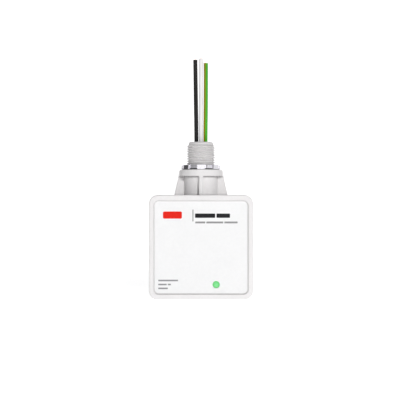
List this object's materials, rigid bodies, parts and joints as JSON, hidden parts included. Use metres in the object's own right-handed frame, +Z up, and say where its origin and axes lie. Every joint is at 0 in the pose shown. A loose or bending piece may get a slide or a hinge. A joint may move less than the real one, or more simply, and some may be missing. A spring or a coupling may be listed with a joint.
{
  "type": "whole house surge protector",
  "caption": "Boxed surge protector with a recessed face label, status lamp, ribbed collar, threaded conduit nipple with locknut, and cut lead wires rising from it.",
  "frame": {"origin": "under the middle of the box, on the plane of its base", "axes": "+Z up along the conduit nipple, -Y out of the labelled front, +X to the right of someone who faces the front"},
  "size_m": [0.0754, 0.05, 0.1777],
  "materials": {
    "housing_plastic": "fine satin moulded",
    "cover_plastic": "fine satin moulded",
    "gasket_rubber": "matt",
    "zinc_screws": "zinc plated",
    "label_film": "satin printed film",
    "rating_film": "satin film",
    "washer_rubber": "matt",
    "zinc_nut": "bright zinc plated",
    "seal_rubber": "matt sealant",
    "black_insulation": "smooth jacket",
    "white_insulation": "smooth jacket",
    "green_insulation": "smooth jacket with a yellow stripe",
    "copper": "bright stranded copper",
    "brass_terminal": "stamped",
    "varistor_coating": "dipped epoxy",
    "tinned_wire": "tinned",
    "fuse_glass": "clear",
    "fuse_metal": "nickel plated",
    "capacitor_case": "moulded",
    "cutoff_case": "ceramic",
    "resistor_body": "lacquered",
    "diode_body": "moulded",
    "led_lens": "tinted lens",
    "board_laminate": "solder resist",
    "sheet_film": "fibre sheet"
  },
  "bodies": {
    "enclosure": {"board_screws": "zinc_screws", "capacitor_leads": "tinned_wire", "circuit_board": "board_laminate", "cover_gasket": "gasket_rubber", "cover_screws": "zinc_screws", "dropping_resistor": "resistor_body", "dropping_resistor_lead": "tinned_wire", "face_label": "label_film", "film_capacitor": "capacitor_case", "fuse_caps": "fuse_metal", "fuse_tube": "fuse_glass", "ground_conductor": "copper", "ground_lead": "green_insulation", "ground_terminal": "brass_terminal", "housing": "housing_plastic", "indicator_led": "led_lens", "insulating_sheet": "sheet_film", "led_leads": "tinned_wire", "line_conductor": "copper", "line_lead": "black_insulation", "line_terminal": "brass_terminal", "neutral_conductor": "copper", "neutral_lead": "white_insulation", "neutral_terminal": "brass_terminal", "rating_label": "rating_film", "rear_cover": "cover_plastic", "rectifier_diode": "diode_body", "rectifier_diode_lead": "tinned_wire", "thermal_cutoff": "cutoff_case", "thermal_cutoff_lead": "tinned_wire", "varistor_leads": "tinned_wire", "varistor_line_ground": "varistor_coating", "varistor_line_neutral": "varistor_coating", "varistor_neutral_ground": "varistor_coating", "wire_seal": "seal_rubber"},
    "nut_travel": {"sealing_washer": "washer_rubber"},
    "nut": {"locknut": "zinc_nut"}
  },
  "joints": [
    {"name": "locknut_travel", "type": "slide", "parent": "enclosure", "child": "nut_travel", "axis": [0, 0, 1], "range_m": [0, 0.02]},
    {"name": "locknut_spin", "type": "hinge", "parent": "nut_travel", "child": "nut", "pos_m": [0, 0, 0.097], "axis": [0, 0, 1], "range_deg": [0, 3960]}
  ],
  "couplings": [
    {"joint": "locknut_travel", "follows": "locknut_spin", "m_per_rad": 0.00028875}
  ]
}
